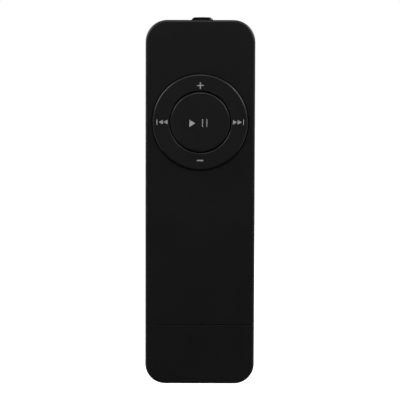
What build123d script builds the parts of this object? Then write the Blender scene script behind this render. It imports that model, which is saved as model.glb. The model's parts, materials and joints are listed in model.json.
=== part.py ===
from build123d import *
import os

# Screenless digital audio player in the shape of a memory stick, in millimetres.
# The stick stands upright: +Z points to the headphone end, the control ring faces -Y, and +X is to the
# right of a person who looks at the ring. The origin is the middle of the cap's closed end.

# --- Outer body ---------------------------------------------------------------------------------------
BODY_WIDTH = 25.0
BODY_TOP = 83.3             # top of the housing, below the headphone collar
TOTAL_HEIGHT = 84.0         # top of the collar
FRONT_Y = -3.85             # front face of the housing
REAR_Y = 4.2                # rear face
TOP_CORNER = 5.0            # corner radii seen from the front
CAP_CORNER = 4.6
LONG_EDGE = 0.6             # rounding between the faces and the sides
WALL = 1.1
SEAM_Z = 13.68              # where the cap meets the housing
SEAM_GAP = 0.14
SEAM_BREAK = 0.04           # small bevel on both lips of the seam
PARTING_GROOVE = 0.1        # width and depth of the line where the two shells meet

MID_Y = 0.125               # parting plane of the shells, and centre line of both connectors
INNER_HALF_WIDTH = BODY_WIDTH / 2 - WALL
INNER_FRONT = FRONT_Y + WALL
INNER_REAR = REAR_Y - WALL
INNER_TOP = BODY_TOP - WALL
HOUSING_BOTTOM = SEAM_Z + SEAM_GAP / 2
CAP_TOP = SEAM_Z - SEAM_GAP / 2
FAR = 50.0                  # past the outside of the body, for cutting tools

# --- Joint between the two shells -----------------------------------------------------------------------
TONGUE_THICK = 0.5          # the front shell's tongue sits in the rear shell's rabbet
TONGUE_DEPTH = 0.6
SHELL_GAP = 0.05
CATCH_HEIGHTS = (29.0, 40.0, 76.0)     # small catches on the sides of the tongue
CATCH_HALF_LENGTH = 2.0
CATCH_DEPTH = (0.42, 0.62)  # from the parting plane
CATCH_PROUD = 0.15

# --- Control ring, gimbal and play button ---------------------------------------------------------------
RING_Z = 60.08
KEY_Y = -4.2                # face of the ring and of the play button
RING_OUTER = 10.9
RING_INNER = 7.1
RING_BACK = -3.1
RING_OUTER_EDGE = 0.42      # rounding of the ring's two visible edges
RING_INNER_EDGE = 0.18
RING_OPENING = 11.04
OPENING_BREAK = 0.06
BUTTON_RADIUS = 6.84
BUTTON_BACK = -3.2
BUTTON_EDGE = 0.4
SKIRT_THICK = 1.0
SKIRT_END = -2.35
LIP_RADIUS = 7.15           # the play button's lip closes the floor of the gap round it
ARM_REACH = 8.2             # the play button's arms end under the ring
ARM_THICK = 0.4
ARM_HALF_WIDTH = 1.2
TILT_Y = -2.4               # depth of both tilt axes
GIMBAL_INNER = 10.1
GIMBAL_OUTER = 11.0
GIMBAL_THICK = 0.6
PIN_RADIUS = 0.25
PIN_CLEARANCE = 0.05
PIN_DEPTH = 0.5             # how far each outer pin enters the side wall
LUG = (9.05, 9.95)          # inner and outer distance of the ring's lugs from its centre
LUG_HALF_WIDTH = 0.9
LUG_END = -1.85
PLUNGER_RADIUS = 0.65
PLAY_PLUNGER_RADIUS = 1.0
PLUNGER_ARM = 7.95          # distance of the ring's plungers from its centre
PLUNGER_TIP = -1.5

# --- Main board, domes and screws -------------------------------------------------------------------------
BOARD_FRONT = -1.2
BOARD_REAR = -0.4
BOARD_BOTTOM = 19.8
BOARD_INSET = 1.6
JACK_NOTCH_Z = RING_Z + 9.9
JACK_NOTCH_HALF = 3.3
FILM_RADIUS = 10.4
FILM_THICK = 0.08
FILM_TOP = RING_Z + 9.85
DOME_RADIUS = 1.7
DOME_HEIGHT = 0.25
DOME_THICK = 0.09
SCREW_X = 9.0
SCREW_HEIGHTS = (22.5, 74.5)
SCREW_SHANK = 0.5
SCREW_HEAD = 1.1
SCREW_HEAD_THICK = 0.6
BOSS_RADIUS = 1.3

# --- Headphone jack -------------------------------------------------------------------------------------
JACK_X = 0.4
JACK_BORE = 1.8             # takes a 3.5 mm plug
JACK_BOTTOM = 71.2
JACK_TOP = 81.9
JACK_WIDTH = 6.0
JACK_DEPTH = 4.46
COLLAR_RADIUS = 2.7
COLLAR_FLANGE = 2.82
COLLAR_MOUTH = 0.15
SPRING_THICK = 0.2
SPRING_WIDTH = 1.1
SPRING_NOSE = 1.2
SPRING_CLEARANCE = 0.08     # between a spring's nose and the bore
WINDOW_WIDTH = 1.4
WINDOW_LENGTH = 2.4
SPRING_PLACES = {           # side (+1 is +X) and height of each spring
    "jack_tip_spring": (1, 72.9),
    "jack_ring_spring": (-1, 76.3),
    "jack_sleeve_spring": (1, 79.7),
}

# --- USB plug, type A -------------------------------------------------------------------------------------
PLUG_WIDTH = 12.0
PLUG_DEPTH = 4.5
PLUG_REACH = 12.0           # length that stands out of the housing
PLUG_SHEET = 0.3
PLUG_TIP = HOUSING_BOTTOM - PLUG_REACH
PLUG_ROOT = 19.4
PLUG_FIT = 0.03
SHEET_SEAM = 0.08           # the slit where the folded sheet meets
LATCH_WINDOW = (2.2, 2.4)
LATCH_X = 2.75
LATCH_HEIGHT = PLUG_TIP + 6.0
TONGUE_FACE = 0.05          # depth of the contact side of the plug's plastic tongue
CONTACT_WIDTH = 1.0
CONTACT_THICK = 0.2
CONTACT_PROUD = 0.04
CONTACT_X = (-3.5, -1.0, 1.0, 3.5)
CONTACT_END = BOARD_BOTTOM + 1.5
BEZEL_TOP = 16.6

# --- Cap ------------------------------------------------------------------------------------------------
CAP_FLOOR = 1.3
CAP_SIDE_WALL = 1.7
LINER_CORNER = 3.0
SPIGOT_HALF_WIDTH = 7.2     # rim round the plug that locates the cap
SPIGOT_HALF_DEPTH = 2.65
SPIGOT_HEIGHT = 0.9
SPIGOT_CORNER = 0.8

# --- Battery --------------------------------------------------------------------------------------------
CELL_HALF_WIDTH = 8.7
CELL_DEPTH = (-0.1, 2.75)
CELL_HEIGHT = (26.0, 45.4)
TRAY_HALF_WIDTH = 10.0
TRAY_HEIGHT = (25.0, 48.2)
TRAY_RAIL = 1.1
TRAY_RAIL_TOP = 2.6
LEAD_X = 5.0
LEAD_RADIUS = 0.3

# --- Rear controls --------------------------------------------------------------------------------------
SWITCH_STEP = 2.0           # three positions, so two steps of travel
SWITCH_TRAVEL = 2 * SWITCH_STEP
SWITCH_Z = 64.0             # middle of the travel
KNOB_Z = SWITCH_Z + SWITCH_TRAVEL / 2      # the knob rests at the top, which is off
KNOB_HALF_WIDTH = 3.6
KNOB_HALF_LENGTH = 3.3
KNOB_GROOVES = 5
KNOB_STEM = (0.88, 1.38)    # half sizes of the stem across and along
SLOT_HALF_WIDTH = 1.0
RECESS_DEPTH = 0.6
RECESS_GAP = 0.15
STEM_GAP = 0.03
ACTUATOR = (0.4, 0.6)
CHECK_Z = 51.6
CHECK_RADIUS = 2.0
CHECK_GAP = 0.15
CHECK_PLUNGER = 0.8
LIGHT_Z = 55.5
LIGHT_RADIUS = 0.5


# --- Shape helpers --------------------------------------------------------------------------------------
def block(x, y, z):
    """A box between two limits on each axis."""
    centre = Pos((x[0] + x[1]) / 2, (y[0] + y[1]) / 2, (z[0] + z[1]) / 2)
    return centre * Box(x[1] - x[0], y[1] - y[0], z[1] - z[0])


def both_ways(half, middle=0.0):
    """The two limits of a size centred on a middle."""
    return (middle - half, middle + half)


def prism(outline, y_from, y_to):
    """A sketch drawn in X and Z, carried through the depth from y_from to y_to."""
    return extrude(Plane.XZ.offset(-y_from) * outline, -(y_to - y_from))


def disc(radius, y_from, y_to, x=0.0, z=0.0):
    """A round bar along the depth."""
    return Pos(x, (y_from + y_to) / 2, z) * Rot(90, 0, 0) * Cylinder(radius, y_to - y_from)


def upright(radius, z_from, z_to, x=0.0, y=0.0):
    """A round bar along the height."""
    return Pos(x, y, (z_from + z_to) / 2) * Cylinder(radius, z_to - z_from)


def crosswise(radius, x_from, x_to, y, z):
    """A round bar along the width."""
    return Pos((x_from + x_to) / 2, y, z) * Rot(0, 90, 0) * Cylinder(radius, x_to - x_from)


def mirror_pair(solid):
    """A solid and its mirror image across the middle of the width."""
    return solid + mirror(solid, about=Plane.YZ)


def around(count, start=0.0):
    """Evenly spaced angles about the ring's axis, in degrees."""
    return [start + 360 * n / count for n in range(count)]


def on_ring(solid, angle):
    """Turns a solid made at the ring's +X side about the ring's axis."""
    return Pos(0, 0, RING_Z) * Rot(0, -angle, 0) * solid


def circles(solid):
    return solid.edges().filter_by(GeomType.CIRCLE)


def screw_places():
    return [(x, z) for x in (-SCREW_X, SCREW_X) for z in SCREW_HEIGHTS]


# --- The stick's outline ----------------------------------------------------------------------------------
def stick_outline(inset, bottom, bottom_corner=0.0):
    """The stick's front outline, set in from its sides and top, down to a given height."""
    top = BODY_TOP - inset
    outline = Pos(0, (top + bottom) / 2) * Rectangle(BODY_WIDTH - 2 * inset, top - bottom)
    if bottom_corner:
        outline = fillet(outline.vertices().sort_by(Axis.Y)[:2], bottom_corner)
    return fillet(outline.vertices().sort_by(Axis.Y)[-2:], TOP_CORNER - inset)


def stick():
    """The solid outer shape of housing and cap together."""
    body = prism(stick_outline(0, 0, CAP_CORNER), FRONT_Y, REAR_Y)
    faces = body.faces().sort_by(Axis.Y)
    return fillet(faces[0].edges() + faces[-1].edges(), LONG_EDGE)


def break_seam(solid, height):
    """Bevels the outer rim of the solid's flat end at the seam."""
    flat_ends = solid.faces().filter_by(Plane.XY)
    end = flat_ends.sort_by(lambda face: abs(face.center().Z - height))[0]
    return chamfer(end.outer_wire().edges(), SEAM_BREAK)


def band(outer_inset, inner_inset, y_from, y_to):
    """A strip that follows the housing's sides and top, between two insets."""
    outline = stick_outline(outer_inset, HOUSING_BOTTOM) - stick_outline(inner_inset, HOUSING_BOTTOM)
    return prism(outline, y_from, y_to)


def housing_half(front):
    """One half of the housing: outer skin and cavity, with the seam's bevel and the parting groove."""
    above_seam = block(both_ways(FAR), both_ways(FAR), (HOUSING_BOTTOM, 2 * FAR))
    skin = break_seam(stick() & above_seam, HOUSING_BOTTOM)
    depth = (-FAR, MID_Y) if front else (MID_Y, FAR)
    half = skin & block(both_ways(FAR), depth, (0, 2 * FAR))
    half -= prism(stick_outline(WALL, HOUSING_BOTTOM - 1), INNER_FRONT, INNER_REAR)
    return half - band(0, PARTING_GROOVE, *both_ways(PARTING_GROOVE / 2, MID_Y))


def collar_hole():
    """The hole in the top wall for the collar, shared by both shells."""
    return upright(COLLAR_RADIUS, INNER_TOP - 0.5, BODY_TOP + 1, JACK_X, MID_Y)


def side_catches(grow=0.0):
    """The catches on both sides of the tongue, or, grown a little, their pockets in the rear shell."""
    tongue_x = BODY_WIDTH / 2 - WALL + TONGUE_THICK
    catches = None
    for height in CATCH_HEIGHTS:
        catch = block(
            (tongue_x - 0.2, tongue_x + CATCH_PROUD + grow),
            (MID_Y + CATCH_DEPTH[0] - grow, MID_Y + CATCH_DEPTH[1] + grow),
            both_ways(CATCH_HALF_LENGTH + grow, height),
        )
        catches = catch if catches is None else catches + catch
    return mirror_pair(catches)


# --- Housing --------------------------------------------------------------------------------------------
def front_shell():
    shell = housing_half(front=True)
    shell += band(WALL - TONGUE_THICK, WALL, MID_Y - 0.3, MID_Y + TONGUE_DEPTH) + side_catches()
    for x, z in screw_places():
        shell += disc(BOSS_RADIUS, INNER_FRONT - 0.1, BOARD_FRONT, x, z)
        shell -= disc(SCREW_SHANK, INNER_FRONT - 0.2, BOARD_FRONT + 1, x, z)
    shell -= disc(RING_OPENING, FRONT_Y - 1, INNER_FRONT + 0.2, 0, RING_Z)
    opening = circles(shell).filter_by(lambda edge: abs(edge.radius - RING_OPENING) < 0.01)
    shell = chamfer(opening.sort_by(Axis.Y)[0], OPENING_BREAK)
    seat_reach = INNER_HALF_WIDTH + PIN_DEPTH + 0.1
    shell -= crosswise(PIN_RADIUS + PIN_CLEARANCE, -seat_reach, seat_reach, TILT_Y, RING_Z)
    return shell - collar_hole()


def rear_shell():
    shell = housing_half(front=False)
    shell -= band(WALL - TONGUE_THICK - SHELL_GAP, WALL, MID_Y - 1, MID_Y + TONGUE_DEPTH + SHELL_GAP)
    shell -= side_catches(SHELL_GAP)
    shell -= collar_hole()
    recess_half = KNOB_HALF_LENGTH + SWITCH_TRAVEL / 2 + RECESS_GAP
    recess = Pos(0, SWITCH_Z) * RectangleRounded(2 * (KNOB_HALF_WIDTH + RECESS_GAP), 2 * recess_half, 1.0)
    shell -= prism(recess, REAR_Y - RECESS_DEPTH, REAR_Y + 1)
    slot_half = SWITCH_TRAVEL / 2 + KNOB_STEM[1] + 0.12
    shell -= block(both_ways(SLOT_HALF_WIDTH), (INNER_REAR - 1, REAR_Y), both_ways(slot_half, SWITCH_Z))
    shell -= disc(CHECK_RADIUS + CHECK_GAP, INNER_REAR - 1, REAR_Y + 1, 0, CHECK_Z)
    return shell - disc(LIGHT_RADIUS, INNER_REAR - 1, REAR_Y + 1, 0, LIGHT_Z)


def end_bezel():
    """The plate that closes the housing round the plug, with the rim that locates the cap."""
    plate = block(
        both_ways(INNER_HALF_WIDTH - SHELL_GAP),
        (INNER_FRONT + SHELL_GAP, INNER_REAR - SHELL_GAP),
        (HOUSING_BOTTOM, BEZEL_TOP),
    )
    spigot = RectangleRounded(2 * SPIGOT_HALF_WIDTH, 2 * SPIGOT_HALF_DEPTH, SPIGOT_CORNER)
    spigot = extrude(Pos(0, MID_Y, HOUSING_BOTTOM - SPIGOT_HEIGHT) * spigot, SPIGOT_HEIGHT + 0.5)
    return plate + spigot - plug_box(-PLUG_FIT, (PLUG_TIP, PLUG_ROOT))


# --- Controls on the front ------------------------------------------------------------------------------
def ring_face_edges(ring):
    """The two circles that bound the ring's front face, smaller one first."""
    return circles(ring).group_by(Axis.Y)[0].sort_by(SortBy.RADIUS)


def control_ring():
    """The rocking ring: four press points, and two lugs for the gimbal's inner pins."""
    ring = disc(RING_OUTER, KEY_Y, RING_BACK, 0, RING_Z) - disc(RING_INNER, KEY_Y - 1, 0, 0, RING_Z)
    ring = fillet(ring_face_edges(ring)[-1], RING_OUTER_EDGE)
    ring = fillet(ring_face_edges(ring)[0], RING_INNER_EDGE)
    for angle in around(4):
        ring += on_ring(disc(PLUNGER_RADIUS, RING_BACK - 0.1, PLUNGER_TIP, PLUNGER_ARM, 0), angle)
    for angle in around(2, 90):
        ring += on_ring(block(LUG, (RING_BACK - 0.1, LUG_END), both_ways(LUG_HALF_WIDTH)), angle)
        ring -= on_ring(crosswise(PIN_RADIUS + PIN_CLEARANCE, LUG[0] - 0.1, LUG[1] + 0.1, TILT_Y, 0), angle)
    return ring


def ring_gimbal():
    """The carrier that lets the ring rock both ways: outer pins on X, inner pins on Z."""
    depth = both_ways(GIMBAL_THICK / 2, TILT_Y)
    gimbal = disc(GIMBAL_OUTER, *depth, 0, RING_Z) - disc(GIMBAL_INNER, -FAR, FAR, 0, RING_Z)
    for angle in around(2):
        outer_pin = crosswise(PIN_RADIUS, GIMBAL_OUTER - 0.2, INNER_HALF_WIDTH + PIN_DEPTH, TILT_Y, 0)
        gimbal += on_ring(outer_pin, angle)
    for angle in around(2, 90):
        inner_pin = crosswise(PIN_RADIUS, LUG[0] + 0.1, GIMBAL_INNER + 0.2, TILT_Y, 0)
        gimbal += on_ring(inner_pin, angle)
    return gimbal


def play_button():
    """The middle button: a shallow cup with a lip, one plunger and four arms that reach under the ring."""
    button = disc(BUTTON_RADIUS, KEY_Y, BUTTON_BACK, 0, RING_Z)
    button = fillet(circles(button).sort_by(Axis.Y)[0], BUTTON_EDGE)
    skirt = disc(BUTTON_RADIUS, BUTTON_BACK - 0.1, SKIRT_END, 0, RING_Z)
    arm_depth = (SKIRT_END - ARM_THICK, SKIRT_END)
    skirt += disc(LIP_RADIUS, *arm_depth, 0, RING_Z)
    button += skirt - disc(BUTTON_RADIUS - SKIRT_THICK, -FAR, FAR, 0, RING_Z)
    for angle in around(4, 45):
        arm = block((BUTTON_RADIUS - 0.5, ARM_REACH), arm_depth, both_ways(ARM_HALF_WIDTH))
        button += on_ring(arm, angle)
    return button + disc(PLAY_PLUNGER_RADIUS, BUTTON_BACK - 0.1, PLUNGER_TIP, 0, RING_Z)


def dome_places():
    """Name, x and z of each snap dome on the board."""
    return {
        "dome_play": (0, RING_Z),
        "dome_next": (PLUNGER_ARM, RING_Z),
        "dome_volume_up": (0, RING_Z + PLUNGER_ARM),
        "dome_previous": (-PLUNGER_ARM, RING_Z),
        "dome_volume_down": (0, RING_Z - PLUNGER_ARM),
    }


def snap_dome(x, z):
    """A thin spherical snap disc, standing on the board with its crown to the front."""
    sphere = (DOME_RADIUS**2 + DOME_HEIGHT**2) / (2 * DOME_HEIGHT)
    centre = Pos(x, BOARD_FRONT - DOME_HEIGHT + sphere, z)
    shell = centre * Sphere(sphere) - centre * Sphere(sphere - DOME_THICK)
    return shell & block(both_ways(FAR), (-FAR, BOARD_FRONT), (0, 2 * FAR))


def dome_film():
    """The spacer film that keeps the five domes in place."""
    film = disc(FILM_RADIUS, BOARD_FRONT - FILM_THICK, BOARD_FRONT, 0, RING_Z)
    for x, z in dome_places().values():
        film -= disc(DOME_RADIUS + 0.1, -FAR, FAR, x, z)
    return film & block(both_ways(FAR), both_ways(FAR), (0, FILM_TOP))


# --- Board and what it carries ---------------------------------------------------------------------------
def main_board():
    board = prism(stick_outline(BOARD_INSET, BOARD_BOTTOM), BOARD_FRONT, BOARD_REAR)
    board -= block(both_ways(JACK_NOTCH_HALF, JACK_X), both_ways(FAR), (JACK_NOTCH_Z, 2 * FAR))
    for x, z in screw_places():
        board -= disc(SCREW_SHANK + 0.15, -FAR, FAR, x, z)
    return board


def board_screw(x, z):
    """A small pan-head screw with a cross recess, its head on the board's rear face."""
    screw = disc(SCREW_SHANK, INNER_FRONT + 0.2, BOARD_REAR + 0.1, x, z)
    screw += disc(SCREW_HEAD, BOARD_REAR, BOARD_REAR + SCREW_HEAD_THICK, x, z)
    recess_floor = BOARD_REAR + SCREW_HEAD_THICK / 2
    for long, short in ((0.7, 0.12), (0.12, 0.7)):
        screw -= block(both_ways(long, x), (recess_floor, FAR), both_ways(short, z))
    return screw


def board_screws():
    return [board_screw(x, z) for x, z in screw_places()]


def chip(x, z, width, length, height, rear=True):
    """A flat package on one side of the board, with the round mark of its first pin."""
    depth = (BOARD_REAR, BOARD_REAR + height) if rear else (BOARD_FRONT - height, BOARD_FRONT)
    package = block(both_ways(width / 2, x), depth, both_ways(length / 2, z))
    face = depth[1] if rear else depth[0]
    corner = (x - width / 2 + 0.8, z + length / 2 - 0.8)
    return package - disc(0.3, face - 0.1, face + 0.1, *corner)


def processor():
    return chip(-6.2, 60.2, 7.0, 7.0, 1.2)


def audio_converter():
    return chip(6.2, 60.4, 5.0, 5.0, 0.9)


def power_controller():
    return chip(6.0, 66.6, 4.0, 4.0, 0.8)


def flash_memory():
    """A long flat memory package on the front of the board, with leads on both short ends."""
    width, length, middle = 12.0, 16.4, 34.0
    leads, pitch, lead_width = 24, 0.5, 0.22
    package = chip(0, middle, width, length, 1.0, rear=False)
    for end in (-1, 1):
        reach = sorted((middle + end * (length / 2 - 0.1), middle + end * (length / 2 + 0.8)))
        for n in range(leads):
            x = (n - (leads - 1) / 2) * pitch
            package += block(both_ways(lead_width / 2, x), (BOARD_FRONT - 0.15, BOARD_FRONT), reach)
    return package


def passive_chips():
    """Small resistors and capacitors: a column each side of the memory, and two short rows on the rear."""
    half_width, half_length, height = 0.5, 0.25, 0.4
    front_places = [(x, 27.5 + 2.0 * n) for n in range(8) for x in (-8.4, 8.4)]
    rear_places = [(-9.4 + 1.5 * n, z) for n in range(3) for z in (50.6, 52.2)]
    front = (BOARD_FRONT - height, BOARD_FRONT)
    rear = (BOARD_REAR, BOARD_REAR + height)
    chips = [block(both_ways(half_width, x), front, both_ways(half_length, z)) for x, z in front_places]
    return chips + [block(both_ways(half_width, x), rear, both_ways(half_length, z)) for x, z in rear_places]


def crystal():
    can = block(both_ways(1.6, -6.6), (BOARD_REAR, BOARD_REAR + 0.8), both_ways(1.25, 67.25))
    return fillet(can.edges().filter_by(Axis.Y), 0.4)


def inductor():
    """A square core with the winding's groove round its waist."""
    x, z = 6.6, 53.2
    core = block(both_ways(1.9, x), (BOARD_REAR, BOARD_REAR + 1.6), both_ways(1.9, z))
    winding_space = disc(1.7, BOARD_REAR + 0.4, BOARD_REAR + 1.2, x, z) - disc(1.0, -FAR, FAR, x, z)
    return core - winding_space


def status_light():
    return block(both_ways(0.8), (BOARD_REAR, BOARD_REAR + 0.6), both_ways(0.4, LIGHT_Z))


def light_pipe():
    """Carries the status light from the board to the rear face."""
    pipe = disc(LIGHT_RADIUS, BOARD_REAR + 0.9, REAR_Y - 0.03, 0, LIGHT_Z)
    return pipe + disc(LIGHT_RADIUS + 0.2, BOARD_REAR + 0.9, INNER_REAR, 0, LIGHT_Z)


# --- Headphone jack -------------------------------------------------------------------------------------
def jack_housing():
    """The jack's body: a full round bore, and a side window for each spring."""
    half = JACK_WIDTH / 2
    body = block(both_ways(half, JACK_X), both_ways(JACK_DEPTH / 2, MID_Y), (JACK_BOTTOM, JACK_TOP))
    body = fillet(body.edges().filter_by(Axis.Z), 0.5)
    body -= upright(JACK_BORE, JACK_BOTTOM - 1, JACK_TOP + 1, JACK_X, MID_Y)
    for side, height in SPRING_PLACES.values():
        across = sorted((JACK_X + side * JACK_BORE / 2, JACK_X + side * (half + 1)))
        body -= block(across, both_ways(WINDOW_WIDTH / 2, MID_Y), both_ways(WINDOW_LENGTH / 2, height))
    return body


def jack_collar():
    """The bevelled collar that stands out of the top, held by its flange under the wall."""
    collar = upright(COLLAR_RADIUS, JACK_TOP, TOTAL_HEIGHT, JACK_X, MID_Y)
    collar = chamfer(circles(collar).sort_by(Axis.Z)[-1], TOTAL_HEIGHT - BODY_TOP)
    collar += upright(COLLAR_FLANGE, JACK_TOP, INNER_TOP - 0.02, JACK_X, MID_Y)
    collar -= upright(JACK_BORE, JACK_TOP - 1, TOTAL_HEIGHT + 1, JACK_X, MID_Y)
    mouth = circles(collar).group_by(Axis.Z)[-1].sort_by(SortBy.RADIUS)[0]
    return chamfer(mouth, COLLAR_MOUTH)


def jack_spring(side, height):
    """A strip outside the jack, with a nose that dips through its window and a foot on the board."""
    wall_x = JACK_X + side * JACK_WIDTH / 2
    outer_x = wall_x + side * SPRING_THICK
    nose_x = JACK_X + side * (JACK_BORE + SPRING_CLEARANCE)
    width = both_ways(SPRING_WIDTH / 2, MID_Y)
    strip = block(sorted((wall_x, outer_x)), width, both_ways(WINDOW_LENGTH / 2 + 0.4, height))
    strip += block(sorted((nose_x, outer_x)), width, both_ways(SPRING_NOSE / 2, height))
    edges = strip.edges().filter_by(Axis.Y).sort_by(Axis.X)
    strip = chamfer(edges[:2] if side > 0 else edges[-2:], 0.3)
    strip += block(sorted((wall_x, outer_x)), (BOARD_REAR, MID_Y), both_ways(0.5, height))
    foot_depth = (BOARD_REAR, BOARD_REAR + SPRING_THICK)
    foot = block(sorted((wall_x, wall_x + side * 1.5)), foot_depth, both_ways(0.5, height))
    return strip + foot


# --- USB plug -------------------------------------------------------------------------------------------
def plug_box(shrink, z):
    """The plug's rectangular section, made smaller all round, over a height range."""
    return block(both_ways(PLUG_WIDTH / 2 - shrink), both_ways(PLUG_DEPTH / 2 - shrink, MID_Y), z)


def usb_sheath():
    """The folded metal sheath, with its seam, four latch windows and two board ears."""
    sheath = plug_box(0, (PLUG_TIP, PLUG_ROOT))
    sheath = fillet(sheath.edges().filter_by(Axis.Z), 0.35)
    sheath -= plug_box(PLUG_SHEET, (PLUG_TIP - 1, PLUG_ROOT + 1))
    window_width, window_length = LATCH_WINDOW
    for x in (-LATCH_X, LATCH_X):
        window_height = both_ways(window_length / 2, LATCH_HEIGHT)
        sheath -= block(both_ways(window_width / 2, x), both_ways(FAR), window_height)
    sheath -= block(both_ways(SHEET_SEAM / 2), (-FAR, MID_Y), (PLUG_TIP - 1, PLUG_ROOT + 1))
    ear_width = (PLUG_WIDTH / 2 - PLUG_SHEET, PLUG_WIDTH / 2)
    ear = block(ear_width, (BOARD_REAR, 0.6), (PLUG_ROOT - 0.5, PLUG_ROOT + 2.1))
    return sheath + mirror_pair(ear)


def contact_strip(x, grow=0.0):
    """One contact: flat along the tongue, then stepped down to the board's rear face."""
    top = TONGUE_FACE + CONTACT_PROUD
    foot = BOARD_REAR + CONTACT_THICK
    low = CONTACT_THICK + grow
    tip = PLUG_TIP + 1.2 - grow
    step_from = PLUG_ROOT - 1.6
    step_to = PLUG_ROOT - 0.8
    profile = Polygon(
        (top + grow, tip),
        (top + grow, step_from),
        (foot + grow, step_to),
        (foot + grow, CONTACT_END),
        (foot - low, CONTACT_END),
        (foot - low, step_to),
        (top - low, step_from),
        (top - low, tip),
        align=None,
    )
    half = CONTACT_WIDTH / 2 + grow
    return extrude(Plane.YZ.offset(x - half) * profile, 2 * half)


def usb_contacts():
    return [contact_strip(x) for x in CONTACT_X]


def usb_insulator():
    """The plastic tongue and its rear block, grooved for the four contacts."""
    shrink = PLUG_SHEET + PLUG_FIT
    body = plug_box(shrink, (HOUSING_BOTTOM + 0.2, PLUG_ROOT - 0.1))
    tongue = plug_box(shrink, (PLUG_TIP + 0.4, HOUSING_BOTTOM + 0.5))
    body += tongue & block(both_ways(FAR), (-FAR, TONGUE_FACE), (0, FAR))
    for x in CONTACT_X:
        body -= contact_strip(x, 0.02)
    return body


# --- Cap ------------------------------------------------------------------------------------------------
def cap_pocket(top):
    """The space inside the cap's walls, up to a given height."""
    pocket = block(both_ways(BODY_WIDTH / 2 - CAP_SIDE_WALL), (INNER_FRONT, INNER_REAR), (CAP_FLOOR, top))
    return fillet(pocket.edges().filter_by(Axis.Y).sort_by(Axis.Z)[:2], LINER_CORNER)


def usb_cap():
    cap = stick() & block(both_ways(FAR), both_ways(FAR), (-1, CAP_TOP))
    return break_seam(cap, CAP_TOP) - cap_pocket(CAP_TOP + 1)


def cap_liner():
    """The soft block inside the cap that grips the plug, with a rabbet for the housing's rim."""
    liner = cap_pocket(CAP_TOP - 0.1) - plug_box(-0.05, (CAP_FLOOR + 0.15, CAP_TOP + 1))
    rabbet = RectangleRounded(2 * (SPIGOT_HALF_WIDTH + 0.1), 2 * (SPIGOT_HALF_DEPTH + 0.05), SPIGOT_CORNER)
    rabbet_floor = HOUSING_BOTTOM - SPIGOT_HEIGHT - 0.1
    return liner - extrude(Pos(0, MID_Y, rabbet_floor) * rabbet, 5)


# --- Battery --------------------------------------------------------------------------------------------
def battery_tray():
    """A thin tray between the board and the cell, with side rails and a lower stop."""
    width = both_ways(TRAY_HALF_WIDTH)
    wall_depth = (CELL_DEPTH[0] - 0.1, TRAY_RAIL_TOP)
    tray = block(width, (BOARD_REAR + 0.02, CELL_DEPTH[0] - 0.02), TRAY_HEIGHT)
    tray += mirror_pair(block((TRAY_HALF_WIDTH - TRAY_RAIL, TRAY_HALF_WIDTH), wall_depth, TRAY_HEIGHT))
    return tray + block(width, wall_depth, (TRAY_HEIGHT[0], TRAY_HEIGHT[0] + 0.8))


def battery_cell():
    cell = block(both_ways(CELL_HALF_WIDTH), CELL_DEPTH, CELL_HEIGHT)
    return fillet(cell.edges().filter_by(Axis.Z), 0.8)


def battery_pad():
    """The foam that presses the cell into its tray."""
    return block(both_ways(7.0), (CELL_DEPTH[1], INNER_REAR - 0.02), (28.0, 43.0))


def protection_board():
    """The cell's safety circuit, on its upper end, with one small package."""
    board = block(both_ways(7.0), (0.8, 1.4), (CELL_HEIGHT[1] + 0.1, TRAY_HEIGHT[1] - 0.6))
    return board + block(both_ways(1.5, -1.0), (1.3, 2.2), (CELL_HEIGHT[1] + 0.4, TRAY_HEIGHT[1] - 0.9))


def battery_lead(x):
    """A wire from the safety circuit to its pad on the main board."""
    start = (x, 1.1, TRAY_HEIGHT[1] - 0.6)
    middle = (x, 0.9, 49.3)
    end = (x, BOARD_REAR + LEAD_RADIUS + 0.04, 50.6)
    path = Spline(start, middle, end, tangents=((0, 0, 1), (0, -0.3, 1)))
    return sweep(Plane(origin=start, z_dir=(0, 0, 1)) * Circle(LEAD_RADIUS), path=path)


# --- Rear controls --------------------------------------------------------------------------------------
def switch_housing():
    """The slide switch's fixed case, with its cavity and the slot for the actuator."""
    half_travel = SWITCH_TRAVEL / 2
    case = block(both_ways(1.5), (BOARD_REAR, 1.0), both_ways(half_travel + 2.2, SWITCH_Z))
    case -= block(both_ways(1.1), (0.1, 0.85), both_ways(half_travel + 1.3, SWITCH_Z))
    return case - block(both_ways(0.5), (0.5, 2.0), both_ways(half_travel + 0.7, SWITCH_Z))


def switch_actuator():
    base = block(both_ways(1.0), (0.2, 0.8), both_ways(1.2, KNOB_Z))
    return base + block(both_ways(ACTUATOR[0]), (0.7, 2.2), both_ways(ACTUATOR[1], KNOB_Z))


def slider_carrier():
    """The inner half of the mode slider: it takes the actuator, and its plate hides the slot."""
    carrier = block(both_ways(2.2), (2.6, INNER_REAR - SHELL_GAP), both_ways(SWITCH_TRAVEL + 1.6, KNOB_Z))
    carrier += block(both_ways(1.5), (1.3, 2.7), both_ways(2.0, KNOB_Z))
    carrier -= block(both_ways(ACTUATOR[0] + STEM_GAP), (1.0, 2.3), both_ways(ACTUATOR[1] + STEM_GAP, KNOB_Z))
    return carrier - block(both_ways(KNOB_STEM[0] + 0.02), (2.4, FAR), both_ways(KNOB_STEM[1] + 0.02, KNOB_Z))


def mode_knob():
    """The outer half of the mode slider, with grip grooves across it."""
    floor = REAR_Y - RECESS_DEPTH
    outline = Pos(0, KNOB_Z) * RectangleRounded(2 * KNOB_HALF_WIDTH, 2 * KNOB_HALF_LENGTH, 0.9)
    knob = prism(outline, floor + 0.04, REAR_Y - 0.08)
    for n in range(KNOB_GROOVES):
        z = KNOB_Z + n - (KNOB_GROOVES - 1) / 2
        knob -= block(both_ways(2.6), (REAR_Y - 0.3, REAR_Y + 1), both_ways(0.25, z))
    return knob + block(both_ways(KNOB_STEM[0]), (2.42, floor + 0.1), both_ways(KNOB_STEM[1], KNOB_Z))


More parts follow.
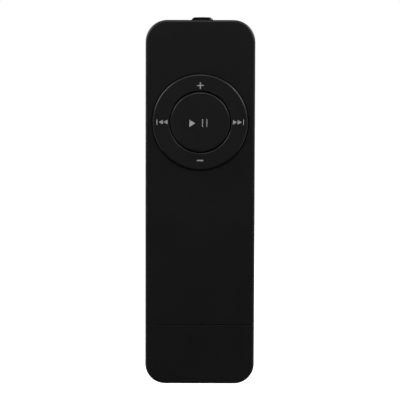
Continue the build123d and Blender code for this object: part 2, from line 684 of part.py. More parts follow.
def check_button():
    """The battery check button: a round key with a flange under the rear wall and a short stem."""
    button = disc(CHECK_RADIUS, 2.6, REAR_Y - 0.06, 0, CHECK_Z)
    button = fillet(circles(button).sort_by(Axis.Y)[-1], 0.2)
    button += disc(CHECK_RADIUS + 0.6, 2.6, 3.0, 0, CHECK_Z)
    return button + disc(0.9, 1.5, 2.7, 0, CHECK_Z)


def check_switch_case():
    case = block(both_ways(1.75), (BOARD_REAR, 0.9), both_ways(1.75, CHECK_Z))
    return case - disc(CHECK_PLUNGER + 0.05, 0.2, 2, 0, CHECK_Z)


def check_switch_plunger():
    return disc(CHECK_PLUNGER, 0.45, 1.48, 0, CHECK_Z)


# --- Assembly -------------------------------------------------------------------------------------------
def build_parts():
    """Every node of the player by name: one solid, or a list of identical solids."""
    makers = [
        front_shell, rear_shell, end_bezel, usb_cap, cap_liner,
        control_ring, ring_gimbal, play_button, dome_film,
        main_board, board_screws, processor, audio_converter, power_controller, flash_memory,
        passive_chips, crystal, inductor, status_light, light_pipe,
        jack_collar, jack_housing, usb_sheath, usb_insulator, usb_contacts,
        battery_tray, battery_cell, battery_pad, protection_board,
        switch_housing, switch_actuator, slider_carrier, mode_knob,
        check_button, check_switch_case, check_switch_plunger,
    ]
    parts = {maker.__name__: maker() for maker in makers}
    parts["battery_lead_positive"] = battery_lead(LEAD_X)
    parts["battery_lead_negative"] = battery_lead(-LEAD_X)
    for name, (x, z) in dome_places().items():
        parts[name] = snap_dome(x, z)
    for name, (side, height) in SPRING_PLACES.items():
        parts[name] = jack_spring(side, height)
    return parts


def write_parts(parts):
    os.makedirs("parts", exist_ok=True)
    for name, shape in parts.items():
        if isinstance(shape, list):
            shape = Compound(children=[piece.solid() for piece in shape])
        export_step(shape, os.path.join("parts", name + ".step"))


write_parts(build_parts())
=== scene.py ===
import json
import math

import bmesh
import bpy
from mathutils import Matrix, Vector


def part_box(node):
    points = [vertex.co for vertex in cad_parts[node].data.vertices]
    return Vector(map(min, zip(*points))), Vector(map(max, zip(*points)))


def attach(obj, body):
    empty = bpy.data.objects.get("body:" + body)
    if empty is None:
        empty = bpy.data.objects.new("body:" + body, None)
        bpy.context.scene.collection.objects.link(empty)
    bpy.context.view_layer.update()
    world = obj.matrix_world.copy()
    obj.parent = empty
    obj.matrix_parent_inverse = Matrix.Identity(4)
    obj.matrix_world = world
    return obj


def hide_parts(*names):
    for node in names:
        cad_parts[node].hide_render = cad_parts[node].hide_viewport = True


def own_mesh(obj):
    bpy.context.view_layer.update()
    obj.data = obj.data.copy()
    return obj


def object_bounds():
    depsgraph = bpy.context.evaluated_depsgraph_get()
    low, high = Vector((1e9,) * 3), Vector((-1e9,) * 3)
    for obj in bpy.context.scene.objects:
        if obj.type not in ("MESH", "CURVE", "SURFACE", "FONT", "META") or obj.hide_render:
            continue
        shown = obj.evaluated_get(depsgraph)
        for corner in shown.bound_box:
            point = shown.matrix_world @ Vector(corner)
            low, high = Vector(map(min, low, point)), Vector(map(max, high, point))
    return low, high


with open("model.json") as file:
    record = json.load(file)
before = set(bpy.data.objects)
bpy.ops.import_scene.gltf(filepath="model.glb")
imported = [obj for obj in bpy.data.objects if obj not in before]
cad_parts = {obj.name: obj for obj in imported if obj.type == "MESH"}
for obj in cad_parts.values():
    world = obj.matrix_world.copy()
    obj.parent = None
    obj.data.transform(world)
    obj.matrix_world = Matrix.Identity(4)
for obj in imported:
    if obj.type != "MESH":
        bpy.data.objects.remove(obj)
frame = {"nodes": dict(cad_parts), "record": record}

# A screenless digital audio player, shown standing up with its control ring towards the camera (-Y).
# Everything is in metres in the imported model's frame. Positions come from the model's own boxes.

cad_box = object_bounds()

MM = 0.001

# Printed marks. Places and sizes without MM are in millimetres, from the ring's middle unless a comment
# says otherwise.
PRINT_PROUD = 0.015 * MM        # how far a printed mark stands out of the surface
PRINT_SINK = 0.02 * MM          # how far it goes into the surface, so that no gap shows
PRINT_CORNER = 0.05 * MM        # rounding of a mark's corners
CORNER_STEPS = 4
SIGN_REACH = 0.76               # half the width of the plus and the minus sign
PLUS_UP = 8.33
PLUS_STROKE = 0.25
MINUS_UP = (-8.89, -8.59)
SKIP_NEAR = (7.44, 8.36)        # tail and tip of the skip mark's arrowhead nearest to the middle
SKIP_FAR = (8.5, 9.48)
SKIP_HEIGHT = 1.06
SKIP_STOP = (9.78, 9.96)        # the bar at the end of the skip mark
SKIP_STOP_UP = (-0.62, 0.62)
PLAY_ACROSS = (-2.47, -1.12)    # tail and tip of the play mark
PLAY_UP = -0.28
PLAY_HEIGHT = 1.66
PAUSE_BARS = ((0.44, 0.62), (1.42, 1.60))
PAUSE_UP = (-1.1, 0.7)
MODE_PLACES = 3                 # marks beside the mode slider: one bar, two bars and three bars
MODE_STEP = 2.0                 # between two places
MODE_ACROSS = 4.7               # left edge of each first bar, from the knob's middle
MODE_PITCH = 0.55
MODE_BAR = (0.3, 0.35)          # width and half height of a bar
CELL_HALF = (1.1, 0.6)          # half width and half height of the cell sign
CELL_STROKE = 0.16
CELL_TIP = (1.16, 1.4)          # the cell's small end
CELL_TIP_UP = (-0.25, 0.25)
CELL_DROP = 3.9                 # below the check button's middle

# Materials.
BEVEL_SAMPLES = 4
EDGE_COSINE = (0.8, 0.98)       # between true and softened normal, on an edge and away from one
SATIN_EDGE = 0.04 * MM          # rounding of the satin plastic's edges
TRACK_SCALES = {"X": 330.0, "Z": 280.0}     # wave scale of the copper tracks that cross each axis

# Snap domes.
DOME_THICK = 0.09 * MM
DOME_DIMPLE = 0.35              # radius of a dome's middle dimple, as a share of the dome's radius
DOME_DIMPLE_DEPTH = 0.25        # its depth, as a share of the dome's height
DOME_CIRCLES = 14
DOME_STEPS = 48

# Camera.
CAMERA_ELEVATION = math.radians(3.24)
CAMERA_DISTANCE = 0.4
CAMERA_SENSOR = 36.0            # millimetres, as for the lens
CAMERA_LENS = 156.0
CAMERA_ROLL = math.radians(0.17)
CAMERA_RISE = 0.08 * MM         # how far above the player's middle the camera looks
CAMERA_CLIP = 10 * MM

# Floor and backdrop.
FLOOR_DROP = 30 * MM            # room below the player for the cap to slide off
FLOOR_SIZE = 12.0
FLOOR_TONE = (0.85, 0.85, 0.85)
FLOOR_NEAR = 0.13               # beyond this distance the floor fades into the backdrop
FLOOR_FAR = 0.24
FLOOR_GLOW = (0.3, 1.0)         # the floor's own brightness near the player and far from it
BACKDROP = (1.0, 1.0, 1.0)
HAZE_FROM = (0, -0.6, 0.8)      # side of the studio that is filled with a dim even light
HAZE_SPAN = (0.1, 0.9)          # cosine of the angle to that side where the haze starts and where it is full
HAZE = (0.01, 0.132)            # its brightness away from that side and on it

# Soft boxes: direction from the ring's lowest point, distance, side length and power in watts. The paired
# ones stand at both sides.
PAIRED_LIGHTS = {
    "key": ((0.74, -0.26, 0.58), 0.3, 0.18, 0.61),
    "side": ((0.90, -0.20, -0.30), 0.4, 0.2, 0.20),
}
SINGLE_LIGHTS = {
    "back_left": ((-0.75, 0.65, 0.08), 0.8, 0.4, 2.0),
    "back_right": ((0.68, 0.66, 0.40), 0.8, 0.4, 2.6),
    "overhead": ((0, -0.45, 1), 0.3, 0.12, 0.17),
    "low_fill": ((0, -0.45, -0.9), 0.6, 0.3, 0.12),
}
PLUG_LIGHT = ((0.1, -1, 0.2), 0.6, 0.5, 0.7)    # lights the bright metal of the plug only
PLUG_NODES = ("usb_sheath", "usb_contacts")


# --- Materials ------------------------------------------------------------------------------------------
class Surface:
    """A material's node tree, written as calls. Lengths are in metres, in the frame."""

    def __init__(self, name, color, roughness=0.5, metallic=0.0):
        self.material = bpy.data.materials.new(name)
        self.material.use_nodes = True
        self.material.diffuse_color = (*color, 1)
        self.nodes = self.material.node_tree.nodes
        self.links = self.material.node_tree.links
        self.shader = self.nodes["Principled BSDF"]
        self.place = self.add("ShaderNodeTexCoord").outputs["Object"]
        self.set("Base Color", (*color, 1))
        self.set("Roughness", roughness)
        self.set("Metallic", metallic)

    def add(self, kind, inputs=(), **settings):
        """Adds a node; an input takes a plain value or another node's output."""
        node = self.nodes.new(kind)
        for key, value in settings.items():
            setattr(node, key, value)
        for key, value in dict(inputs).items():
            self.connect(node.inputs[key], value)
        return node

    def connect(self, socket, value):
        if isinstance(value, bpy.types.NodeSocket):
            self.links.new(value, socket)
        else:
            socket.default_value = value

    def set(self, name, value):
        """Sets one of the Principled shader's inputs."""
        self.connect(self.shader.inputs[name], value)

    def noise(self, size, detail=2.0, place=None):
        """A cloudy pattern whose patches are about this size."""
        inputs = {"Vector": place or self.place, "Scale": 1 / size, "Detail": detail}
        return self.add("ShaderNodeTexNoise", inputs).outputs["Fac"]

    def cells(self, size, feature="F1"):
        """A pattern of cells about this size, dark in their middles or, by feature, at their edges."""
        inputs = {"Vector": self.place, "Scale": 1 / size}
        return self.add("ShaderNodeTexVoronoi", inputs, feature=feature).outputs["Distance"]

    def stretched(self, x, y, z):
        """The place with each axis scaled, so that a pattern is drawn out along the smallest."""
        mapping = self.add("ShaderNodeMapping", {"Vector": self.place, "Scale": (x, y, z)})
        return mapping.outputs["Vector"]

    def between(self, value, low, high, from_low=0.3, from_high=0.7):
        """Carries the middle range of a pattern to the range from low to high."""
        inputs = {"Value": value, "From Min": from_low, "From Max": from_high, "To Min": low, "To Max": high}
        return self.add("ShaderNodeMapRange", inputs).outputs["Result"]

    def math(self, operation, first, second=0.0):
        node = self.add("ShaderNodeMath", operation=operation)
        self.connect(node.inputs[0], first)
        self.connect(node.inputs[1], second)
        return node.outputs[0]

    def tones(self, pattern, *colors):
        """Colours spread evenly over the middle range of a pattern."""
        ramp = self.add("ShaderNodeValToRGB", {"Fac": self.between(pattern, 0, 1)})
        stops = ramp.color_ramp.elements
        for n in range(len(colors) - len(stops)):
            stops.new((n + 1) / (len(colors) - 1))
        for n, color in enumerate(colors):
            stops[n].position = n / (len(colors) - 1)
            stops[n].color = (*color, 1)
        return ramp.outputs["Color"]

    def soft_normal(self, radius):
        """Normals as if every sharp edge had a small rounding."""
        return self.add("ShaderNodeBevel", {"Radius": radius}, samples=BEVEL_SAMPLES).outputs["Normal"]

    def edge(self, radius):
        """1 on sharp edges and 0 away from them."""
        true_normal = self.add("ShaderNodeNewGeometry").outputs["True Normal"]
        dot = self.add("ShaderNodeVectorMath", operation="DOT_PRODUCT")
        self.connect(dot.inputs[0], self.soft_normal(radius))
        self.connect(dot.inputs[1], true_normal)
        return self.between(dot.outputs["Value"], 1, 0, *EDGE_COSINE)

    def bump(self, pattern, depth, normal=None):
        """Normals of a surface whose pattern is this deep."""
        inputs = {"Height": pattern, "Distance": depth, "Strength": 1.0}
        if normal is not None:
            inputs["Normal"] = normal
        return self.add("ShaderNodeBump", inputs).outputs["Normal"]


def shade(color, factor):
    """A colour made darker or lighter, below 1 or above."""
    return tuple(min(1.0, channel * factor) for channel in color)


def satin_plastic(name, color, roughness, specular, grain=0.12 * MM, depth=0.003 * MM):
    """Dark moulded plastic with a fine spark-eroded grain, a slight unevenness and worn edges."""
    surface = Surface(name, color)
    fine = surface.noise(grain, 3.0)
    broad = surface.noise(7 * MM, 2.0)
    worn = surface.edge(SATIN_EDGE)
    surface.set("Base Color", surface.tones(broad, shade(color, 0.88), shade(color, 1.12)))
    polished = surface.math("MULTIPLY", worn, -0.12)
    grainy = surface.between(fine, roughness - 0.05, roughness + 0.06)
    surface.set("Roughness", surface.math("ADD", grainy, polished))
    surface.set("Specular IOR Level", specular)
    uneven = surface.bump(broad, 0.012 * MM, surface.soft_normal(SATIN_EDGE))
    surface.set("Normal", surface.bump(fine, depth, uneven))
    return surface.material


def gloss_plastic(name, color, roughness=0.18):
    """Shiny moulded plastic with faint flow marks."""
    surface = Surface(name, color)
    flow = surface.noise(1.2 * MM, 3.0, surface.stretched(1, 1, 0.4))
    surface.set("Base Color", surface.tones(flow, shade(color, 0.85), color, shade(color, 1.1)))
    surface.set("Roughness", surface.between(flow, roughness - 0.04, roughness + 0.08))
    surface.set("Normal", surface.bump(flow, 0.004 * MM, surface.soft_normal(0.05 * MM)))
    return surface.material


def soft_moulding(name, color):
    """Matt rubber-like plastic with a talc-like bloom."""
    surface = Surface(name, color)
    bloom = surface.noise(0.5 * MM, 4.0)
    surface.set("Base Color", surface.tones(bloom, shade(color, 0.8), shade(color, 1.3)))
    surface.set("Roughness", surface.between(bloom, 0.75, 0.92))
    surface.set("Normal", surface.bump(bloom, 0.01 * MM, surface.soft_normal(0.08 * MM)))
    return surface.material


def drawn_metal(name, color, roughness):
    """Rolled sheet with fine lines along the height and slight dulling in patches."""
    surface = Surface(name, color, metallic=1.0)
    lines = surface.noise(0.08 * MM, 2.0, surface.stretched(1, 1, 0.03))
    patches = surface.noise(2.5 * MM, 3.0)
    surface.set("Base Color", surface.tones(patches, shade(color, 0.86), shade(color, 1.06)))
    streaks = surface.between(lines, roughness - 0.07, roughness + 0.1)
    surface.set("Roughness", surface.math("ADD", streaks, surface.between(patches, 0, 0.08)))
    surface.set("Normal", surface.bump(lines, 0.0015 * MM, surface.soft_normal(0.06 * MM)))
    return surface.material


def board_laminate(name, color):
    """Glass-fibre board under solder mask, with the copper tracks showing as lighter lines."""
    surface = Surface(name, color)
    waves = []
    for axis, scale in TRACK_SCALES.items():
        inputs = {"Vector": surface.place, "Scale": scale}
        waves.append(surface.add("ShaderNodeTexWave", inputs, bands_direction=axis).outputs["Fac"])
    region = surface.between(surface.noise(5 * MM, 0.0), 0, 1, 0.48, 0.52)
    tracks = surface.add("ShaderNodeMix", {"Factor": region, "A": waves[0], "B": waves[1]})
    lines = surface.between(tracks.outputs["Result"], 0, 1, 0.55, 0.7)
    weave = surface.noise(0.15 * MM, 2.0)
    surface.set("Base Color", surface.tones(lines, color, shade(color, 1.9)))
    surface.set("Roughness", surface.between(weave, 0.25, 0.38))
    surface.set("Normal", surface.bump(lines, 0.02 * MM, surface.bump(weave, 0.002 * MM)))
    return surface.material


def chip_epoxy(name, color):
    """Matt moulded package with a speckled skin."""
    surface = Surface(name, color)
    specks = surface.cells(0.1 * MM)
    surface.set("Base Color", surface.tones(specks, shade(color, 1.5), color))
    surface.set("Roughness", surface.between(specks, 0.5, 0.7))
    surface.set("Normal", surface.bump(specks, 0.004 * MM, surface.soft_normal(0.05 * MM)))
    return surface.material


def fired_ceramic(name, color):
    """Fine-grained fired body with darker specks."""
    surface = Surface(name, color)
    specks = surface.noise(0.09 * MM, 4.0)
    surface.set("Base Color", surface.tones(specks, shade(color, 0.6), color, shade(color, 1.2)))
    surface.set("Roughness", surface.between(specks, 0.45, 0.65))
    surface.set("Normal", surface.bump(specks, 0.005 * MM, surface.soft_normal(0.04 * MM)))
    return surface.material


def clear_moulding(name, color, roughness, transmission):
    """Clear plastic with a slightly uneven surface."""
    surface = Surface(name, color)
    waves = surface.noise(0.8 * MM, 1.0)
    surface.set("Base Color", surface.tones(waves, shade(color, 0.94), color))
    surface.set("Roughness", surface.between(waves, roughness, roughness + 0.08))
    surface.set("Transmission Weight", transmission)
    surface.set("IOR", 1.49)
    surface.set("Normal", surface.bump(waves, 0.004 * MM))
    return surface.material


def cell_foil(name, color):
    """Laminated foil of a pouch cell, slightly creased."""
    surface = Surface(name, color, metallic=0.85)
    creases = surface.cells(3.5 * MM, "DISTANCE_TO_EDGE")
    ripples = surface.noise(1.5 * MM, 2.0)
    surface.set("Base Color", surface.tones(ripples, shade(color, 0.85), shade(color, 1.1)))
    surface.set("Roughness", surface.between(ripples, 0.28, 0.42))
    folds = surface.bump(surface.between(creases, 0, 1, 0, 0.06), 0.02 * MM)
    surface.set("Normal", surface.bump(ripples, 0.05 * MM, folds))
    return surface.material


def closed_foam(name, color):
    """Fine closed-cell foam, with painted shade darkening each bubble's sunken middle."""
    surface = Surface(name, color)
    bubbles = surface.cells(0.25 * MM)
    # painted shade: each bubble's sunken middle is darkened, as if shadowed
    surface.set("Base Color", surface.tones(bubbles, shade(color, 0.5), shade(color, 1.4)))
    surface.set("Roughness", surface.between(bubbles, 0.85, 0.98))
    surface.set("Normal", surface.bump(bubbles, 0.08 * MM))
    return surface.material


def pad_print(name, color):
    """Matt ink, with a faint mottle where the plastic's grain shows through."""
    surface = Surface(name, color)
    ink = surface.noise(0.12 * MM, 3.0)
    surface.set("Base Color", surface.tones(ink, shade(color, 0.9), shade(color, 1.06)))
    surface.set("Roughness", surface.between(ink, 0.5, 0.65))
    surface.set("Specular IOR Level", 0.2)
    surface.set("Normal", surface.bump(ink, 0.002 * MM))
    return surface.material


def cad_materials():
    """One material for each material slot of the record."""
    return {
        "shell_plastic": satin_plastic("shell_plastic", (0.0103, 0.0103, 0.0104), 0.42, 0.32),
        "key_plastic": satin_plastic("key_plastic", (0.0134, 0.0134, 0.0135), 0.36, 0.36, depth=0.002 * MM),
        "connector_plastic": satin_plastic(
            "connector_plastic", (0.002, 0.002, 0.002), 0.2, 0.3, depth=0.001 * MM
        ),
        "check_key": gloss_plastic("check_key", (0.05, 0.05, 0.055), 0.28),
        "switch_plastic": gloss_plastic("switch_plastic", (0.45, 0.44, 0.40), 0.4),
        "liner": soft_moulding("liner", (0.03, 0.03, 0.03)),
        "plated_steel": drawn_metal("plated_steel", (0.84, 0.84, 0.85), 0.48),
        "contact_gold": drawn_metal("contact_gold", (0.83, 0.62, 0.25), 0.24),
        "board_laminate": board_laminate("board_laminate", (0.006, 0.010, 0.008)),
        "chip_epoxy": chip_epoxy("chip_epoxy", (0.015, 0.015, 0.016)),
        "ceramic": fired_ceramic("ceramic", (0.42, 0.30, 0.20)),
        "film": soft_moulding("film", (0.012, 0.012, 0.012)),
        "clear_plastic": clear_moulding("clear_plastic", (0.75, 0.78, 0.76), 0.08, 0.7),
        "cell_foil": cell_foil("cell_foil", (0.60, 0.61, 0.62)),
        "foam": closed_foam("foam", (0.05, 0.05, 0.05)),
        "wire_red": gloss_plastic("wire_red", (0.55, 0.02, 0.02), 0.35),
        "wire_black": gloss_plastic("wire_black", (0.01, 0.01, 0.01), 0.35),
    }


def paint_cad_nodes(materials):
    """Gives each CAD node the material of its slot in the record."""
    for row in frame["record"]["subparts"]:
        mesh = frame["nodes"][row["node"]].data
        mesh.materials.clear()
        mesh.materials.append(materials[row["material_slot"]])


# --- Mesh helpers ---------------------------------------------------------------------------------------
def add_piece(name, mesh_builder, material, body):
    """A new visible piece that moves with a CAD body."""
    mesh = bpy.data.meshes.new(name)
    bmesh.ops.recalc_face_normals(mesh_builder, faces=mesh_builder.faces)
    mesh_builder.to_mesh(mesh)
    mesh_builder.free()
    mesh.materials.append(material)
    piece = bpy.data.objects.new(name, mesh)
    bpy.context.scene.collection.objects.link(piece)
    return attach(piece, body)


def rounded(outline, radius=PRINT_CORNER):
    """A closed outline of (across, up) points, with each corner rounded."""
    points = [Vector(point) for point in outline]
    result = []
    for n, corner in enumerate(points):
        before = (points[n - 1] - corner).normalized() * radius
        after = (points[(n + 1) % len(points)] - corner).normalized() * radius
        for step in range(CORNER_STEPS + 1):
            t = step / CORNER_STEPS
            result.append(corner + before * (1 - t) ** 2 + after * t**2)
    return result


def bar(across, up):
    """The outline of a rectangle between two limits each way."""
    return [(across[0], up[0]), (across[1], up[0]), (across[1], up[1]), (across[0], up[1])]


def arrowhead(tail, tip, middle, height):
    """The outline of a triangle that points from its tail to its tip."""
    return [(tail, middle - height / 2), (tip, middle), (tail, middle + height / 2)]


def printed_mark(name, outlines, face_y, out, material, body):
    """Raised prints on a face that looks along Y; out is -1 for the front and +1 for the rear."""
    builder = bmesh.new()
    levels = (face_y - out * PRINT_SINK, face_y + out * PRINT_PROUD)
    for outline in outlines:
        loops = [[builder.verts.new((x, y, z)) for x, z in outline] for y in levels]
        for loop in loops:
            builder.faces.new(loop)
        for n in range(len(outline)):
            builder.faces.new((loops[0][n - 1], loops[0][n], loops[1][n], loops[1][n - 1]))
    return add_piece(name, builder, material, body)


def middle_of(node):
    low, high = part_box(node)
    return (low + high) / 2


def scaled(outlines, centre):
    """Outlines drawn in millimetres about a centre, carried to the frame with rounded corners."""
    placed = [[(centre.x + x * MM, centre.z + z * MM) for x, z in outline] for outline in outlines]
    return [rounded(outline) for outline in placed]


# --- Printed marks --------------------------------------------------------------------------------------
def plus_outline(middle, reach, stroke):
    """A plus sign centred at a height."""
    r, s = reach, stroke / 2
    corners = [
        (s, s), (s, r), (-s, r),
        (-s, s), (-r, s), (-r, -s),
        (-s, -s), (-s, -r), (s, -r),
        (s, -s), (r, -s), (r, s),
    ]
    return [(x, middle + z) for x, z in corners]


def skip_outlines(side):
    """Two arrowheads and a bar at one side of the ring: +1 skips forward and -1 back."""
    arrows = [arrowhead(side * tail, side * tip, 0, SKIP_HEIGHT) for tail, tip in (SKIP_NEAR, SKIP_FAR)]
    stop = bar(sorted(side * x for x in SKIP_STOP), SKIP_STOP_UP)
    return [*arrows, stop]


def front_marks(ink_bright, ink_dim):
    """The marks of the ring and of the play button."""
    centre = middle_of("control_ring")
    face_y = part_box("control_ring")[0].y
    ring_marks = {
        "print_plus": [plus_outline(PLUS_UP, SIGN_REACH, PLUS_STROKE)],
        "print_minus": [bar((-SIGN_REACH, SIGN_REACH), MINUS_UP)],
        "print_next": skip_outlines(1),
        "print_previous": skip_outlines(-1),
    }
    for name, outlines in ring_marks.items():
        printed_mark(name, scaled(outlines, centre), face_y, -1, ink_dim, "ring")
    play = arrowhead(*PLAY_ACROSS, PLAY_UP, PLAY_HEIGHT)
    pause = [bar(across, PAUSE_UP) for across in PAUSE_BARS]
    outlines = scaled([play, *pause], centre)
    printed_mark("print_play_pause", outlines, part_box("play_button")[0].y, -1, ink_bright, "play")


def mode_outlines():
    """One, two and three bars, each row beside a place of the mode slider."""
    width, half_height = MODE_BAR
    bars = []
    for place in range(MODE_PLACES):
        up = -MODE_STEP * place
        for count in range(place + 1):
            left = MODE_ACROSS + MODE_PITCH * count
            bars.append(bar((left, left + width), (up - half_height, up + half_height)))
    return bars


def cell_outlines():
    """The outline of a battery cell with its small end."""
    half, height = CELL_HALF
    inner_half, inner_height = half - CELL_STROKE, height - CELL_STROKE
    sign = [
        bar((-half, half), (inner_height, height)),
        bar((-half, half), (-height, -inner_height)),
        bar((-half, -inner_half), (-inner_height, inner_height)),
        bar((inner_half, half), (-inner_height, inner_height)),
        bar(CELL_TIP, CELL_TIP_UP),
    ]
    return [[(x, z - CELL_DROP) for x, z in outline] for outline in sign]


def rear_marks(ink_dim):
    """Plain marks beside the mode slider's three places, and a cell's outline below the check button."""
    face_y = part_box("rear_shell")[1].y
    mode_marks = scaled(mode_outlines(), middle_of("mode_knob"))
    printed_mark("print_mode_places", mode_marks, face_y, 1, ink_dim, "player")
    cell_mark = scaled(cell_outlines(), middle_of("check_button"))
    printed_mark("print_cell", cell_mark, face_y, 1, ink_dim, "player")


# --- Snap domes -----------------------------------------------------------------------------------------
def dome_height(share):
    """Height of a dome's outer face at a share of its radius, for a crown height of 1."""
    crown = 1 - share**2
    if share >= DOME_DIMPLE:
        return crown
    return crown - DOME_DIMPLE_DEPTH * (1 - (share / DOME_DIMPLE) ** 2) ** 2


def dome_skin(builder, centre, base_y, radius, height):
    """Circles of points from the rim to the middle of one face of a dome, joined by faces."""
    circles = []
    for n in range(DOME_CIRCLES):
        share = 1 - n / DOME_CIRCLES
        y = base_y - height * dome_height(share)
        turns = [2 * math.pi * step / DOME_STEPS for step in range(DOME_STEPS)]
        reach = radius * share
        places = [(centre.x + reach * math.cos(a), y, centre.z + reach * math.sin(a)) for a in turns]
        circles.append([builder.verts.new(place) for place in places])
    for outer, inner in zip(circles, circles[1:]):
        for step in range(DOME_STEPS):
            builder.faces.new((outer[step - 1], outer[step], inner[step], inner[step - 1]))
    middle = builder.verts.new((centre.x, base_y - height * dome_height(0), centre.z))
    for step in range(DOME_STEPS):
        builder.faces.new((circles[-1][step - 1], circles[-1][step], middle))
    return circles[0]


def snap_dome(node, material):
    """A dimpled snap disc in place of the CAD dome."""
    low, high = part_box(node)
    centre = middle_of(node)
    radius = (high.x - low.x) / 2
    height = high.y - low.y
    builder = bmesh.new()
    outer = dome_skin(builder, centre, high.y, radius, height)
    inner = dome_skin(builder, centre, high.y, radius - DOME_THICK, height - DOME_THICK)
    for step in range(DOME_STEPS):
        builder.faces.new((outer[step - 1], outer[step], inner[step], inner[step - 1]))
    dome = add_piece("snap_" + node, builder, material, "player")
    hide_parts(node)
    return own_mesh(dome)


def snap_domes(material):
    """One snap disc for each CAD dome, with the joint that presses it."""
    joints = {
        "dome_play": "play_press",
        "dome_volume_up": "volume_tilt",
        "dome_volume_down": "volume_tilt",
        "dome_next": "track_tilt",
        "dome_previous": "track_tilt",
    }
    for node, joint in joints.items():
        snap_dome(node, material)


# --- Floor, light and camera ----------------------------------------------------------------------------
def smooth_step(nodes, links, value, limits, results):
    """Carries a value between two limits to a smooth change between two results."""
    step = nodes.new("ShaderNodeMapRange")
    step.interpolation_type = "SMOOTHSTEP"
    links.new(value, step.inputs["Value"])
    for name, number in zip(("From Min", "From Max", "To Min", "To Max"), (*limits, *results)):
        step.inputs[name].default_value = number
    return step.outputs["Result"]


def floor_material():
    """White paper that fades into the backdrop away from the player, and is clear from below."""
    material = bpy.data.materials.new("floor_paper")
    material.use_nodes = True
    nodes = material.node_tree.nodes
    links = material.node_tree.links
    nodes.clear()
    paper = nodes.new("ShaderNodeBsdfDiffuse")
    paper.inputs["Color"].default_value = (*FLOOR_TONE, 1)
    distance = nodes.new("ShaderNodeVectorMath")
    distance.operation = "LENGTH"
    links.new(nodes.new("ShaderNodeTexCoord").outputs["Object"], distance.inputs[0])
    fade = smooth_step(nodes, links, distance.outputs["Value"], (FLOOR_NEAR, FLOOR_FAR), FLOOR_GLOW)
    glow = nodes.new("ShaderNodeEmission")
    links.new(fade, glow.inputs["Strength"])
    lit = nodes.new("ShaderNodeAddShader")
    links.new(paper.outputs[0], lit.inputs[0])
    links.new(glow.outputs[0], lit.inputs[1])
    one_sided = nodes.new("ShaderNodeMixShader")
    links.new(nodes.new("ShaderNodeNewGeometry").outputs["Backfacing"], one_sided.inputs[0])
    links.new(lit.outputs[0], one_sided.inputs[1])
    links.new(nodes.new("ShaderNodeBsdfTransparent").outputs[0], one_sided.inputs[2])
    output = nodes.new("ShaderNodeOutputMaterial")
    links.new(one_sided.outputs[0], output.inputs["Surface"])
    return material


def floor():
    """A floor that only the camera sees, so that no white light comes up onto the black plastic."""
    half = FLOOR_SIZE / 2
    height = cad_box[0][2] - FLOOR_DROP
    corners = [(x, y, height) for x, y in ((-half, -half), (half, -half), (half, half), (-half, half))]
    mesh = bpy.data.meshes.new("floor")
    mesh.from_pydata(corners, [], [(0, 1, 2, 3)])
    mesh.materials.append(floor_material())
    plane = bpy.data.objects.new("floor", mesh)
    bpy.context.scene.collection.objects.link(plane)
    plane.visible_diffuse = False
    plane.visible_glossy = False
    plane.visible_transmission = False
    plane.visible_shadow = False


def studio_world():
    """A white backdrop to the camera; to the player, a dim light from the front and above."""
    world = bpy.data.worlds.new("studio")
    bpy.context.scene.world = world
    world.use_nodes = True
    nodes = world.node_tree.nodes
    links = world.node_tree.links
    nodes.clear()
    white = nodes.new("ShaderNodeBackground")
    white.inputs["Color"].default_value = (*BACKDROP, 1)
    facing = nodes.new("ShaderNodeVectorMath")
    facing.operation = "DOT_PRODUCT"
    links.new(nodes.new("ShaderNodeTexCoord").outputs["Generated"], facing.inputs[0])
    facing.inputs[1].default_value = Vector(HAZE_FROM).normalized()
    dim = nodes.new("ShaderNodeBackground")
    links.new(smooth_step(nodes, links, facing.outputs["Value"], HAZE_SPAN, HAZE), dim.inputs["Strength"])
    mix = nodes.new("ShaderNodeMixShader")
    links.new(nodes.new("ShaderNodeLightPath").outputs["Is Camera Ray"], mix.inputs[0])
    links.new(dim.outputs[0], mix.inputs[1])
    links.new(white.outputs[0], mix.inputs[2])
    output = nodes.new("ShaderNodeOutputWorld")
    links.new(mix.outputs[0], output.inputs["Surface"])


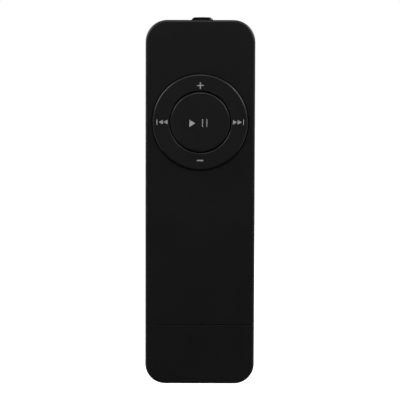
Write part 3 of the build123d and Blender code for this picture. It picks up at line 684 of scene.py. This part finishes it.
def soft_light(name, direction, distance, size, watts, target):
    """A square soft box that faces the target from a direction."""
    data = bpy.data.lights.new(name, "AREA")
    data.size = size
    data.energy = watts
    light = bpy.data.objects.new(name, data)
    towards = Vector(direction).normalized()
    light.location = target + towards * distance
    light.rotation_euler = towards.to_track_quat("Z", "Y").to_euler()
    light.visible_camera = False
    bpy.context.scene.collection.objects.link(light)
    return light


def studio_lights(target):
    """Keys and weaker side lights in pairs, two boxes behind, one overhead and one low in front."""
    for side, name in ((-1, "_left"), (1, "_right")):
        for light, ((x, y, z), distance, size, watts) in PAIRED_LIGHTS.items():
            soft_light(light + name, (side * x, y, z), distance, size, watts, target)
    for light, values in SINGLE_LIGHTS.items():
        soft_light(light, *values, target)


def light_plug(target):
    """A soft box for the plug's bright metal, which the dark studio would leave grey."""
    lit = bpy.data.collections.new("lit_by_plug_light")
    for node in PLUG_NODES:
        lit.objects.link(frame["nodes"][node])
    soft_light("plug_light", *PLUG_LIGHT, target).light_linking.receiver_collection = lit


def studio_camera(target):
    data = bpy.data.cameras.new("camera")
    data.sensor_width = CAMERA_SENSOR
    data.lens = CAMERA_LENS
    data.clip_start = CAMERA_CLIP
    camera = bpy.data.objects.new("camera", data)
    towards = Vector((0, -math.cos(CAMERA_ELEVATION), math.sin(CAMERA_ELEVATION)))
    camera.location = target + towards * CAMERA_DISTANCE
    camera.rotation_euler = towards.to_track_quat("Z", "Y").to_euler()
    camera.rotation_euler.rotate_axis("Z", CAMERA_ROLL)
    bpy.context.scene.collection.objects.link(camera)
    bpy.context.scene.camera = camera


# --- The scene ------------------------------------------------------------------------------------------
materials = cad_materials()
paint_cad_nodes(materials)
ink_bright = pad_print("ink_bright", (0.56, 0.56, 0.57))
ink_dim = pad_print("ink_dim", (0.47, 0.47, 0.48))
front_marks(ink_bright, ink_dim)
rear_marks(ink_dim)
snap_domes(materials["plated_steel"])

floor()
studio_world()
ring_foot = Vector((0, 0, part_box("control_ring")[0].z))
studio_lights(ring_foot)
light_plug(ring_foot)
studio_camera(Vector((0, 0, (cad_box[0][2] + cad_box[1][2]) / 2 + CAMERA_RISE)))
bpy.context.scene.view_settings.view_transform = "Standard"
